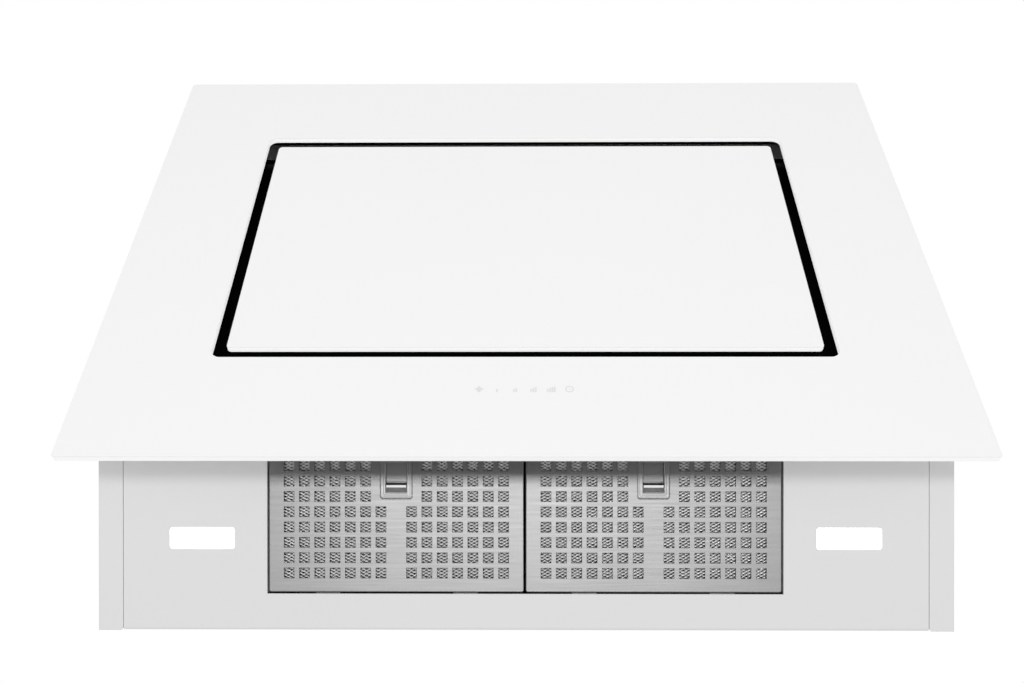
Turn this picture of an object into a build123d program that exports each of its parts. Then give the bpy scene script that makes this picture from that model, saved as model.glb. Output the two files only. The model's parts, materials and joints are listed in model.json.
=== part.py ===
from build123d import *
import math
import os

os.makedirs("parts", exist_ok=True)

# A wall hood with a glass front that leans out from the wall as it rises.
# X runs along the wall, Y towards the wall and Z up. The model is drawn with the underside at z = 0
# and the wall at y = 0, and is saved with its origin at the wall fixing.

# Glass front
glass_width = 598.0
glass_length = 430.0
glass_thickness = 4.0
glass_corner_radius = 3.0
glass_edge_chamfer = 0.4
slope_angle = 45.0
glass_foot_depth = 115.9
glass_drop = 26.2

# Cut-out in the glass and the centre panel in it
cutout_side_margin = 83.5
cutout_length = 257.0
cutout_lower_margin = 87.7
cutout_corner_radius = 6.5
panel_side_gap = 9.1
panel_lower_gap = 9.2
panel_upper_gap = 10.6
panel_corner_radius = 3.2
panel_recess = 0.8

# Black frame behind the glass
tape_thickness = 1.0
tape_inset = 2.0
frame_sheet = 1.2
frame_edge_inset = 0.5
frame_opening_inset = 9.0
frame_wall_depth = 8.0

# Casing
casing_overhang = 20.8
casing_height = 268.0
casing_sheet = 1.0
bottom_flange_width = 15.9
bottom_flange_corner = 2.0
seam_gap = 0.3
rear_bend_radius = 2.2
rear_flange_height = 20.0
rear_flange_width = 12.0
slope_flange_width = 14.0
top_flange_width = 12.0

# Wall fixing
fixing_drop = 43.0
bracket_side_margin = 68.2
bracket_size = 60.0
bracket_sheet = 3.0
bracket_hook_depth = 15.0
bracket_lip_height = 8.0
bracket_hole_spacing = 30.0
bracket_hole_radius = 3.25
window_clearance = 3.0
window_lift_room = 12.0
lower_hole_side_margin = 48.2
lower_hole_height = 45.0
lower_hole_radius = 3.0

# Lower grease filters and their opening
opening_side_margin = 110.2
opening_rear_depth = 23.9
filter_side_gap = 1.0
filter_divider_gap = 1.2
filter_rear_gap = 1.0
filter_front_gap = 1.2
filter_length = 90.4
filter_recess = 0.6
filter_thickness = 9.0
filter_sheet = 0.8
filter_corner_radius = 1.5
filter_edge_radius = 0.7
hole_size = 6.8
hole_pitch = 10.0
hole_first_row = 12.4
hole_end_margin = 7.0
hole_side_margin = 12.0
latch_rows = 3
latch_blank_columns = 1
mesh_layers = 5
mesh_sheet = 0.5
tab_spacing = 90.0
tab_width = 16.0
tab_reach = 3.6
tab_thickness = 1.0
tab_lift = 2.5
tab_foot = 1.4
tab_rest = 0.2
opening_lip_height = 11.0

# Filter latches
bezel_width = 20.7
bezel_length = 26.0
bezel_offset = 3.25
bezel_proud = 0.5
bezel_corner_radius = 2.0
cup_cavity_width = 14.0
cup_cavity_length = 19.8
cup_cavity_offset = 5.7
cup_depth = 6.2
cup_wall = 0.8
slider_clearance = 0.4
slider_travel = 3.0
slider_plate_depth = 1.8
slider_plate_thickness = 0.8
slider_rib_thickness = 1.7
slider_groove_width = 1.1
slider_rib_proud = 0.1
tongue_width = 8.0
tongue_thickness = 1.5
tongue_reach = 0.8
tongue_clearance = 0.3
spring_radius = 1.1
spring_wire = 0.4
spring_coils = 7
post_width = 3.0
post_thickness = 1.5
post_offset = 16.1

# Lamps
lamp_gap = 21.65
lamp_depth = 60.1
lens_length = 41.7
lens_width = 13.4
lens_corner_radius = 1.7
lens_clearance = 0.3
lens_shoulder = 1.4
lens_shoulder_thickness = 1.5
lamp_housing_height = 14.0
lamp_housing_wall = 1.2
lamp_board_height = 9.0
board_thickness = 1.2
led_count = 3

# Touch controls behind the glass
touch_height = 57.2
touch_board_length = 96.0
touch_board_width = 17.0
touch_air_gap = 0.2
touch_window_margin = 2.0
touch_cover_depth = 9.0
touch_cover_wall = 1.2
touch_key_pitch = 12.0
touch_key_count = 6

# Hinge and catches of the centre panel
tray_inset = 5.0
tray_sheet = 1.0
tray_depth = 11.2
tray_lip = 8.0
hinge_below_edge = 14.0
hinge_depth = 12.0
hinge_pin_radius = 3.0
hinge_pin_clearance = 0.05
hinge_bracket_thickness = 2.0
hinge_bracket_size = 24.0
hinge_head_radius = 3.8
hinge_head_thickness = 2.0
magnet_spacing = 260.0
magnet_length = 30.0
magnet_width = 9.0
magnet_depth = 10.0
catch_sheet = 1.2
catch_margin = 2.0

# Inner baffle and the third grease filter behind the centre panel
baffle_depth = 41.0
baffle_start = 70.0
baffle_clearance = 0.2
front_filter_inset = 21.4
front_filter_length = 190.0
front_filter_start = 122.0
front_filter_rim = 10.0
front_filter_thickness = 9.0
baffle_ledge_width = 120.0
keeper_width = 40.0

# Blower
blower_depth = 95.0
throat_height = 25.1
scroll_width = 120.0
scroll_wall = 2.0
scroll_tongue_angle = 115.0
scroll_tongue_radius = 76.0
scroll_outlet_radius = 105.0
scroll_flange_size = 160.0
throat_lean = 22.1
impeller_radius = 70.0
impeller_inner_radius = 56.0
impeller_length = 96.0
impeller_plate = 2.0
impeller_offset = -50.0
impeller_ring_width = 5.0
blade_count = 32
blade_thickness = 1.2
blade_lean = 9.0
hub_radius = 12.0
hub_length = 28.0
inlet_radius = 52.0
inlet_collar_wall = 3.0
inlet_collar_gap = 2.0
grille_wire = 2.0
motor_radius = 42.0
motor_length = 62.0
motor_wall = 2.0
motor_plate_radius = 68.0
motor_screw_radius = 60.0
shaft_radius = 4.0
shaft_clearance = 0.05
rotor_radius = 30.0
stator_gap = 1.0
grommet_radius = 7.0
grommet_thickness = 4.0

# Outlet
outlet_depth = 152.0
collar_radius = 74.0
collar_wall = 2.0
collar_height = 50.0
collar_flange_radius = 84.0
collar_flange_thickness = 2.0
collar_screw_radius = 79.0
gasket_thickness = 3.0
flap_height = 20.0
flap_thickness = 1.2
flap_clearance = 1.5
flap_offset = 3.0
spindle_radius = 1.5
spindle_clearance = 0.05
ledge_width = 3.0
ledge_thickness = 2.0

# Control box, capacitor and cable gland
box_side_margin = 16.2
box_length = 92.0
box_bottom = 70.0
box_height = 90.0
box_depth = 56.0
box_wall = 1.5
box_lid = 2.0
capacitor_radius = 13.0
capacitor_length = 50.0
capacitor_gap = 3.0
saddle_width = 14.0
gland_offset = 62.0
gland_depth = 60.0
gland_radius = 11.0
gland_thread_radius = 8.0
gland_bore_radius = 4.0
gland_height = 14.0
gland_nut_thickness = 5.0

# Screws
screw_radius = 2.0
screw_head_radius = 3.6
screw_head_height = 2.0
screw_end_margin = 24.0
screw_front_margin = 60.0
hole_clearance = 0.1

# Inner wiring
lead_radius = 2.5
lead_bend = 14.0

# Values that follow from the sizes above
slope_sin = math.sin(math.radians(slope_angle))
slope_cos = math.cos(math.radians(slope_angle))
slope = Plane(origin=(0, -glass_foot_depth, -glass_drop), x_dir=(1, 0, 0), z_dir=(0, -slope_cos, -slope_sin))
glass_half = glass_width / 2
casing_half = glass_half - casing_overhang
web_face = casing_half - casing_sheet
frame_face = -(glass_thickness + tape_thickness)
casing_face = frame_face - frame_sheet
flange_back = casing_face - casing_sheet
underside_half = casing_half - bottom_flange_width - seam_gap
opening_half_width = casing_half - opening_side_margin
bracket_x = casing_half - bracket_side_margin
lower_hole_x = casing_half - lower_hole_side_margin
lamp_x = opening_half_width + lamp_gap + lens_length / 2
box_left = box_side_margin - casing_half
gland_x = box_left + gland_offset
panel_top = casing_height - casing_sheet
fixing_height = casing_height - fixing_drop
cutout_half = glass_half - cutout_side_margin
cutout_upper = cutout_lower_margin + cutout_length
panel_half = cutout_half - panel_side_gap
panel_lower = cutout_lower_margin + panel_lower_gap
panel_upper = cutout_upper - panel_upper_gap
panel_back = -(panel_recess + glass_thickness)
tray_face = panel_back - tape_thickness
tray_back = tray_face - tray_depth
tray_half = panel_half - tray_inset
tray_lower = panel_lower + tray_inset
tray_upper = panel_upper - tray_inset
hinge_u = panel_upper - hinge_below_edge
frame_open_half = cutout_half + frame_opening_inset
frame_open_lower = cutout_lower_margin - frame_opening_inset
frame_open_upper = cutout_upper + frame_opening_inset
frame_wall_back = casing_face - frame_wall_depth + frame_sheet
filter_width = (2 * opening_half_width - 2 * filter_side_gap - filter_divider_gap) / 2
filter_centre = (filter_divider_gap + filter_width) / 2
filter_rear = -(opening_rear_depth + filter_rear_gap)
filter_front = filter_rear - filter_length
opening_front = filter_front - filter_front_gap
filter_top = filter_recess + filter_thickness
hole_columns = 2 * int((filter_width / 2 - hole_side_margin) / hole_pitch) + 1
hole_rows = int((filter_length - hole_first_row - hole_end_margin) / hole_pitch) + 1
blower_left = -scroll_width / 2
blower_right = scroll_width / 2
outlet_z = panel_top - gasket_thickness
tongue_rise = scroll_tongue_radius * math.sin(math.radians(scroll_tongue_angle))
tongue_y = scroll_tongue_radius * math.cos(math.radians(scroll_tongue_angle)) - blower_depth
blower_height = outlet_z - throat_height - tongue_rise
fixing_sides = (-1, 1)


def slope_y(u, w):
    """Y of a point u up the slope and w out from the glass face."""
    return -glass_foot_depth - u * slope_sin - w * slope_cos


def slope_z(u, w):
    """Height of a point u up the slope and w out from the glass face."""
    return -glass_drop + u * slope_cos - w * slope_sin


def slope_u(z, w):
    """Distance up the slope at which depth w reaches height z."""
    return (z + glass_drop + w * slope_sin) / slope_cos


def front_y(z):
    """Y of the casing's sloping front at height z."""
    return slope_y(slope_u(z, casing_face), casing_face)


def block(x0, x1, y0, y1, z0, z1):
    """Box between two corners."""
    return Pos((x0 + x1) / 2, (y0 + y1) / 2, (z0 + z1) / 2) * Box(x1 - x0, y1 - y0, z1 - z0)


def rounded_block(x0, x1, y0, y1, z0, z1, radius):
    """Box between two corners with its upright edges rounded."""
    outline = RectangleRounded(x1 - x0, y1 - y0, radius)
    return Pos((x0 + x1) / 2, (y0 + y1) / 2, z0) * extrude(outline, z1 - z0)


def on_slope(shape):
    """Move a shape drawn as x, u, w on to the sloping front."""
    return slope * shape


def along_x(outline, x0, x1):
    """Extrude an outline drawn as y, z between two x values."""
    return Pos(x0, 0, 0) * extrude(Plane.YZ * outline, x1 - x0, dir=(1, 0, 0))


def level_sheet(x0, x1, y_back, z0, z1):
    """Level sheet whose front edge follows the sloping front."""
    outline = Polygon((y_back, z0), (front_y(z0), z0), (front_y(z1), z1), (y_back, z1), align=None)
    return along_x(outline, x0, x1)


def rod_x(x0, x1, y, z, radius):
    """Round rod along X."""
    return Pos((x0 + x1) / 2, y, z) * Rot(0, 90, 0) * Cylinder(radius, x1 - x0)


def rod_y(y0, y1, x, z, radius):
    """Round rod along Y."""
    return Pos(x, (y0 + y1) / 2, z) * Rot(90, 0, 0) * Cylinder(radius, y1 - y0)


def rod_z(z0, z1, x, y, radius):
    """Round rod along Z."""
    return Pos(x, y, (z0 + z1) / 2) * Cylinder(radius, z1 - z0)


def tube_x(x0, x1, y, z, outer, inner):
    """Round tube along X."""
    return rod_x(x0, x1, y, z, outer) - rod_x(x0 - 1, x1 + 1, y, z, inner)


def mirrored(shape):
    """The same shape on the other side of the hood."""
    return mirror(shape, about=Plane.YZ)


def save(name, *shapes):
    """Write one sub-part with the wall fixing as its origin."""
    solids = [Pos(0, 0, -fixing_height) * solid for shape in shapes for solid in shape.solids()]
    export_step(solids[0] if len(solids) == 1 else Compound(solids), f"parts/{name}.step")


# Screw places, shared by the screws and the holes that they pass through
rear_screw_x = web_face - rear_flange_width / 2
rear_screw_low = rear_flange_height + screw_end_margin
rear_screw_high = casing_height - screw_end_margin
rear_screw_heights = (rear_screw_low, (rear_screw_low + rear_screw_high) / 2, rear_screw_high)
rear_screws = [(side * rear_screw_x, z) for side in fixing_sides for z in rear_screw_heights]
top_screw_x = web_face - top_flange_width / 2
top_screw_front = front_y(panel_top) + screw_front_margin
top_screw_depths = (-screw_front_margin, (top_screw_front - screw_front_margin) / 2, top_screw_front)
top_screws = [(side * top_screw_x, y) for side in fixing_sides for y in top_screw_depths]
collar_screws = [
    (
        collar_screw_radius * math.cos(math.radians(45 + 90 * i)),
        collar_screw_radius * math.sin(math.radians(45 + 90 * i)) - outlet_depth,
    )
    for i in range(4)
]
motor_screws = [
    (
        motor_screw_radius * math.cos(math.radians(90 + 120 * i)) - blower_depth,
        motor_screw_radius * math.sin(math.radians(90 + 120 * i)) + blower_height,
    )
    for i in range(3)
]


def rear_screw_holes():
    """Holes along Y for the screws of the back panel."""
    radius = screw_radius + hole_clearance
    return [rod_y(-3 * casing_sheet, casing_sheet, x, z, radius) for x, z in rear_screws]


def top_screw_holes():
    """Holes along Z for the screws of the top panel."""
    radius = screw_radius + hole_clearance
    return [rod_z(panel_top - 3 * casing_sheet, casing_height + 1, x, y, radius) for x, y in top_screws]


def collar_screw_holes():
    """Holes along Z for the screws that hold the collar and the blower to the top panel."""
    radius = screw_radius + hole_clearance
    top = casing_height + collar_flange_thickness + 1
    return [rod_z(outlet_z - scroll_wall - 1, top, x, y, radius) for x, y in collar_screws]


# Front glass
front_glass = rounded_block(
    -glass_half, glass_half, 0, glass_length, -glass_thickness, 0, glass_corner_radius
)
front_glass -= rounded_block(
    -cutout_half, cutout_half, cutout_lower_margin, cutout_upper, -glass_thickness, 0, cutout_corner_radius
)
front_glass = chamfer(front_glass.faces().sort_by(Axis.Z)[-1].edges(), glass_edge_chamfer)
save("front_glass", on_slope(front_glass))

# Touch window that the frame and the tape leave behind the symbols
window_half = touch_board_length / 2 + touch_window_margin
window_lower = touch_height - touch_board_width / 2 - touch_window_margin
window_upper = touch_height + touch_board_width / 2 + touch_window_margin
touch_window = block(-window_half, window_half, window_lower, window_upper, casing_face - 1, 0)

# Black frame that carries the glass
frame_half = casing_half - frame_edge_inset
frame_lower = slope_u(0, casing_face) + frame_edge_inset
frame_upper = slope_u(casing_height, casing_face) - frame_edge_inset
front_frame = block(-frame_half, frame_half, frame_lower, frame_upper, casing_face, frame_face)
frame_wall = rounded_block(
    -frame_open_half - frame_sheet,
    frame_open_half + frame_sheet,
    frame_open_lower - frame_sheet,
    frame_open_upper + frame_sheet,
    frame_wall_back,
    casing_face,
    cutout_corner_radius,
)
front_frame += frame_wall
front_frame -= rounded_block(
    -frame_open_half,
    frame_open_half,
    frame_open_lower,
    frame_open_upper,
    frame_wall_back - 1,
    0,
    cutout_corner_radius - frame_sheet,
)
front_frame -= touch_window
save("front_frame", on_slope(front_frame))

# Tape between the frame and the glass
tape_outer_half = frame_half - tape_inset
tape_inner_half = frame_open_half + tape_inset
frame_tape = block(
    -tape_outer_half,
    tape_outer_half,
    frame_lower + tape_inset,
    frame_upper - tape_inset,
    frame_face,
    -glass_thickness,
)
frame_tape -= block(
    -tape_inner_half,
    tape_inner_half,
    frame_open_lower - tape_inset,
    frame_open_upper + tape_inset,
    frame_face,
    -glass_thickness,
)
frame_tape -= touch_window
save("frame_bonding_tape", on_slope(frame_tape))

# Side panels, drawn for the right and mirrored
web_upper = slope_u(panel_top, casing_face)
web_outline = Polygon((0, 0), (front_y(0), 0), (front_y(panel_top), panel_top), (0, panel_top), align=None)
side_panel = along_x(web_outline, web_face, casing_half)
bottom_flange = level_sheet(casing_half - bottom_flange_width, casing_half, 0, 0, casing_sheet)
flange_corner = bottom_flange.edges().filter_by(Axis.Z).group_by(Axis.Y)[-1].sort_by(Axis.X)[0]
side_panel += fillet(flange_corner, bottom_flange_corner)
side_panel += on_slope(
    block(
        web_face - slope_flange_width,
        web_face,
        slope_u(0, casing_face),
        slope_u(panel_top, flange_back),
        flange_back,
        casing_face,
    )
)
side_panel += block(web_face - rear_flange_width, web_face, -casing_sheet, 0, 0, panel_top)
side_panel += block(
    web_face - top_flange_width,
    web_face,
    front_y(panel_top) + slope_flange_width,
    -rear_flange_height,
    panel_top - casing_sheet,
    panel_top,
)
screw_holes = rear_screw_holes() + top_screw_holes()
side_panel -= screw_holes
save("right_side_panel", side_panel)
save("left_side_panel", mirrored(side_panel))

# Underside sheet: level sheet, rounded rear bend, rear flange and front flange on the slope
rear_face = -casing_sheet
bend_y = -rear_bend_radius
bend_inner = rear_bend_radius - casing_sheet
flange_inner = rear_face - casing_sheet
underside_edges = [
    Line((front_y(0), 0), (bend_y, 0)),
    CenterArc((bend_y, rear_bend_radius), rear_bend_radius, -90, 90),
    Line((0, rear_bend_radius), (0, rear_flange_height)),
    Line((0, rear_flange_height), (rear_face, rear_flange_height)),
    Line((rear_face, rear_flange_height), (rear_face, rear_bend_radius)),
    CenterArc((bend_y, rear_bend_radius), bend_inner, 0, -90),
    Line((bend_y, casing_sheet), (front_y(casing_sheet), casing_sheet)),
    Line((front_y(casing_sheet), casing_sheet), (front_y(0), 0)),
]
underside = along_x(make_face(underside_edges), -underside_half, underside_half)
front_flange_upper = window_lower - touch_window_margin
underside += on_slope(
    block(
        -underside_half,
        underside_half,
        slope_u(0, casing_face),
        front_flange_upper,
        flange_back,
        casing_face,
    )
)
for side in fixing_sides:
    lip_inner = side * opening_half_width
    lip_outer = side * (opening_half_width + casing_sheet)
    underside += block(
        min(lip_inner, lip_outer),
        max(lip_inner, lip_outer),
        opening_front,
        -opening_rear_depth,
        casing_sheet,
        casing_sheet + opening_lip_height,
    )
underside -= block(
    -opening_half_width, opening_half_width, opening_front, -opening_rear_depth, -1, casing_sheet + 1
)
lens_hole_length = lens_length + 2 * lens_clearance
lens_hole_width = lens_width + 2 * lens_clearance
lens_hole = extrude(
    RectangleRounded(lens_hole_length, lens_hole_width, lens_corner_radius + lens_clearance), 2 * casing_sheet
)
for side in fixing_sides:
    underside -= Pos(side * lamp_x, -lamp_depth, -casing_sheet / 2) * lens_hole
save("underside_panel", underside)

# Back panel with the windows for the wall brackets
bracket_half = bracket_size / 2
back_panel = block(
    -web_face, web_face, flange_inner, rear_face, rear_bend_radius + seam_gap, panel_top - casing_sheet
)
for side in fixing_sides:
    x = side * bracket_x
    back_panel -= block(
        x - bracket_half - window_clearance,
        x + bracket_half + window_clearance,
        flange_inner - 1,
        1,
        fixing_height - bracket_half - window_lift_room,
        fixing_height + bracket_half,
    )
    back_panel -= rod_y(flange_inner - 1, 1, side * lower_hole_x, lower_hole_height, lower_hole_radius)
back_panel -= rear_screw_holes()
save("back_panel", back_panel)

# Wall brackets that the back panel hooks on to
bracket_top = fixing_height + bracket_half
wall_brackets = []
for side in fixing_sides:
    x = side * bracket_x
    x0 = x - bracket_half
    x1 = x + bracket_half
    bracket = block(x0, x1, -bracket_sheet, 0, fixing_height - bracket_half, bracket_top)
    bracket += block(x0, x1, -bracket_hook_depth, 0, bracket_top - bracket_sheet, bracket_top)
    bracket += block(
        x0,
        x1,
        -bracket_hook_depth,
        bracket_sheet - bracket_hook_depth,
        bracket_top - bracket_sheet,
        bracket_top + bracket_lip_height,
    )
    for step in (-0.5, 0.5):
        z = fixing_height + step * bracket_hole_spacing
        bracket -= rod_y(-bracket_sheet - 1, 1, x, z, bracket_hole_radius)
    wall_brackets.append(bracket)
save("wall_brackets", *wall_brackets)

# Top panel
top_panel = level_sheet(-casing_half, casing_half, 0, panel_top, casing_height)
top_flange_end = slope_u(casing_height, flange_back)
top_panel += on_slope(
    block(
        -underside_half,
        underside_half,
        top_flange_end - slope_flange_width,
        top_flange_end,
        flange_back,
        casing_face,
    )
)
top_panel += block(
    -underside_half,
    underside_half,
    flange_inner - casing_sheet,
    flange_inner,
    bracket_top + bracket_sheet,
    panel_top,
)
top_panel -= rod_z(panel_top - 1, casing_height + 1, 0, -outlet_depth, collar_radius - collar_wall)
top_panel -= rod_z(panel_top - 1, casing_height + 1, gland_x, -gland_depth, gland_thread_radius + hole_clearance)
holes = top_screw_holes() + collar_screw_holes()
top_panel -= holes
save("top_panel", top_panel)

# Centre panel: glass, tape and carrier tray
centre_glass = rounded_block(
    -panel_half, panel_half, panel_lower, panel_upper, panel_back, -panel_recess, panel_corner_radius
)
centre_glass = chamfer(centre_glass.faces().sort_by(Axis.Z)[-1].edges(), glass_edge_chamfer)
save("centre_panel_glass", on_slope(centre_glass))

tray_tape = block(
    -tray_half + tape_inset,
    tray_half - tape_inset,
    tray_lower + tape_inset,
    tray_upper - tape_inset,
    tray_face,
    panel_back,
)
tray_tape -= block(
    -tray_half + tray_lip,
    tray_half - tray_lip,
    tray_lower + tray_lip,
    tray_upper - tray_lip,
    tray_face,
    panel_back,
)
save("panel_bonding_tape", on_slope(tray_tape))

tray = block(-tray_half, tray_half, tray_lower, tray_upper, tray_back, tray_face)
tray -= block(
    -tray_half + tray_sheet,
    tray_half - tray_sheet,
    tray_lower + tray_sheet,
    tray_upper - tray_sheet,
    tray_back + tray_sheet,
    tray_face - tray_sheet,
)
tray -= block(
    -tray_half + tray_lip,
    tray_half - tray_lip,
    tray_lower + tray_lip,
    tray_upper - tray_lip,
    tray_back,
    tray_back + tray_sheet,
)
tray -= rod_x(-tray_half, tray_half, hinge_u, -hinge_depth, hinge_pin_radius)
save("panel_carrier", on_slope(tray))

# Hinge pins on the tray and the brackets on the frame
pin_end = frame_open_half - casing_sheet / 5
pin = rod_x(tray_half - tray_sheet, pin_end, hinge_u, -hinge_depth, hinge_pin_radius)
pin += rod_x(
    tray_half - tray_sheet - hinge_head_thickness,
    tray_half - tray_sheet,
    hinge_u,
    -hinge_depth,
    hinge_head_radius,
)
save("hinge_pins", on_slope(pin), on_slope(mirrored(pin)))

hinge_half = hinge_bracket_size / 2
hinge_bracket = block(
    frame_open_half - hinge_bracket_thickness,
    frame_open_half,
    hinge_u - hinge_half,
    hinge_u + hinge_half,
    -hinge_depth - hinge_half / 2,
    flange_back,
)
hinge_bracket -= rod_x(
    frame_open_half - 2 * hinge_bracket_thickness,
    frame_open_half + 1,
    hinge_u,
    -hinge_depth,
    hinge_pin_radius + hinge_pin_clearance,
)
save("hinge_brackets", on_slope(hinge_bracket), on_slope(mirrored(hinge_bracket)))

# Magnets that hold the centre panel shut
magnets = []
catch_brackets = []
magnet_back = tray_back - magnet_depth
for side in fixing_sides:
    x = side * magnet_spacing / 2
    x0 = x - magnet_length / 2
    x1 = x + magnet_length / 2
    magnet = block(x0, x1, tray_lower, tray_lower + magnet_width, magnet_back, tray_back)
    magnets.append(on_slope(magnet))
    foot = block(
        x0 - catch_margin,
        x1 + catch_margin,
        frame_open_lower,
        frame_open_lower + catch_sheet,
        magnet_back - catch_sheet,
        flange_back,
    )
    foot += block(
        x0 - catch_margin,
        x1 + catch_margin,
        frame_open_lower,
        tray_lower + magnet_width + catch_margin,
        magnet_back - catch_sheet,
        magnet_back,
    )
    catch_brackets.append(on_slope(foot))
save("catch_magnets", *magnets)
save("catch_brackets", *catch_brackets)


# Filter latch, drawn with y into the filter from its latch edge and z into its depth
cavity_end = cup_cavity_offset + cup_cavity_length
cup_half = cup_cavity_width / 2
rib_end = cavity_end - slider_travel - slider_clearance + 0.1
rib_start = rib_end - slider_rib_thickness
plate_end = rib_start - slider_groove_width
plate_start = cup_cavity_offset + slider_clearance
plate_back = slider_plate_depth + slider_plate_thickness
tongue_top = slider_plate_depth + 0.1
spring_depth = (plate_back + cup_depth) / 2
spring_start = plate_start + slider_rib_thickness


def tongue_slot():
    """Slot that the tongue slides in, through the cup and the filter's edge."""
    half = tongue_width / 2 + tongue_clearance
    return block(
        -half,
        half,
        -1,
        cup_cavity_offset,
        tongue_top - tongue_clearance,
        tongue_top + tongue_thickness + tongue_clearance,
    )


def latch_pocket(depth):
    """Room that a filter leaves for the cup and the tongue."""
    room = block(
        -cup_half - cup_wall,
        cup_half + cup_wall,
        cup_cavity_offset - cup_wall,
        cavity_end + cup_wall,
        -1,
        depth,
    )
    return room + tongue_slot()


def latch_cup():
    """Bezel with the cup that the slider runs in."""
    cup = rounded_block(
        -bezel_width / 2,
        bezel_width / 2,
        bezel_offset,
        bezel_offset + bezel_length,
        -bezel_proud,
        0,
        bezel_corner_radius,
    )
    cup += block(
        -cup_half - cup_wall,
        cup_half + cup_wall,
        cup_cavity_offset - cup_wall,
        cavity_end + cup_wall,
        0,
        cup_depth + cup_wall,
    )
    cup -= block(-cup_half, cup_half, cup_cavity_offset, cavity_end, -1, cup_depth)
    cup -= tongue_slot()
    post_start = post_offset
    post_top = plate_back + tongue_clearance
    cup += block(
        -post_width / 2, post_width / 2, post_start, post_start + post_thickness, post_top, cup_depth
    )
    return cup


def latch_slider():
    """Slider: plate with a finger rib behind a groove, a spring lug and the tongue."""
    half = cup_half - slider_clearance
    floor_top = cup_depth - slider_clearance - slider_plate_thickness
    floor_back = cup_depth - slider_clearance
    slider = block(-half, half, plate_start, plate_end, slider_plate_depth, plate_back)
    slider += block(-half, half, plate_end - slider_plate_thickness, plate_end, slider_plate_depth, floor_back)
    slider += block(-half, half, plate_end, rib_end, floor_top, floor_back)
    slider += block(-half, half, rib_start, rib_end, -slider_rib_proud, floor_back)
    slider += block(-half, half, plate_start, spring_start, slider_plate_depth, floor_back)
    slider += block(
        -tongue_width / 2,
        tongue_width / 2,
        -tongue_reach,
        spring_start,
        tongue_top,
        tongue_top + tongue_thickness,
    )
    return slider


def latch_spring():
    """Coil spring between the slider's lug and the cup's post."""
    length = post_offset - spring_start - spring_wire
    coil = Helix(length / spring_coils, length, spring_radius)
    start = coil @ 0
    section = Plane(origin=start, z_dir=coil % 0) * Circle(spring_wire / 2)
    spring = sweep(section, path=coil, is_frenet=True)
    return Pos(0, spring_start + spring_wire / 2, spring_depth) * Rot(-90, 0, 0) * spring


def hole_grid(z0, z1, with_latch):
    """Square holes of a filter sheet, drawn about the filter's middle, first row at the wall side."""
    holes = []
    middle = hole_columns // 2
    for row in range(hole_rows):
        y = filter_rear - hole_first_row - row * hole_pitch
        beside_latch = row >= hole_rows - latch_rows
        blank = latch_blank_columns if beside_latch and with_latch else 0
        for column in range(-middle, middle + 1):
            if with_latch and abs(column) <= blank:
                continue
            holes.append(Pos(column * hole_pitch, y, (z0 + z1) / 2) * Box(hole_size, hole_size, z1 - z0))
    return holes


def mesh_pack(x0, x1, y0, y1, z0, z1):
    """Layers of mesh spread evenly through a filter's depth, as plain sheets."""
    pitch = (z1 - z0) / mesh_layers
    middles = [z0 + (i + 0.5) * pitch for i in range(mesh_layers)]
    return [block(x0, x1, y0, y1, z - mesh_sheet / 2, z + mesh_sheet / 2) for z in middles]


# Lower grease filters, drawn about x = 0 and moved to the left and the right
filter_half = filter_width / 2
pan = rounded_block(
    -filter_half,
    filter_half,
    filter_front,
    filter_rear,
    filter_recess,
    filter_top - filter_sheet,
    filter_corner_radius,
)
pan = fillet(pan.faces().sort_by(Axis.Z)[0].edges(), filter_edge_radius)
pan -= block(
    -filter_half + filter_sheet,
    filter_half - filter_sheet,
    filter_front + filter_sheet,
    filter_rear - filter_sheet,
    filter_recess + filter_sheet,
    filter_top,
)
for step in (-0.5, 0.5):
    x = step * tab_spacing
    tab_bottom = casing_sheet + tab_lift
    pan += block(
        x - tab_width / 2,
        x + tab_width / 2,
        filter_rear - filter_sheet,
        filter_rear + tab_reach,
        tab_bottom,
        tab_bottom + tab_thickness,
    )
    pan += block(
        x - tab_width / 2,
        x + tab_width / 2,
        filter_rear + tab_reach - tab_foot,
        filter_rear + tab_reach,
        casing_sheet + tab_rest,
        tab_bottom,
    )
latch_place = Pos(0, filter_front, filter_recess)
pan -= latch_place * latch_pocket(filter_thickness)
pan -= hole_grid(filter_recess - 1, filter_recess + filter_sheet + 1, True)

mesh = mesh_pack(
    -filter_half + filter_sheet,
    filter_half - filter_sheet,
    filter_front + filter_sheet,
    filter_rear - filter_sheet,
    filter_recess + filter_sheet,
    filter_top - filter_sheet,
)
mesh = [layer - latch_place * latch_pocket(filter_thickness) for layer in mesh]

back_sheet = rounded_block(
    -filter_half,
    filter_half,
    filter_front,
    filter_rear,
    filter_top - filter_sheet,
    filter_top,
    filter_corner_radius,
)
back_sheet -= hole_grid(filter_top - filter_sheet - 1, filter_top + 1, False)

for name, side in (("left", -1), ("right", 1)):
    place = Pos(side * filter_centre, 0, 0)
    save(f"{name}_filter_face", place * pan)
    save(f"{name}_filter_mesh", *[place * layer for layer in mesh])
    save(f"{name}_filter_back", place * back_sheet)
    save(f"{name}_latch_cup", place * latch_place * latch_cup())
    save(f"{name}_latch_slider", place * latch_place * latch_slider())
    save(f"{name}_latch_spring", place * latch_place * latch_spring())

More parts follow.
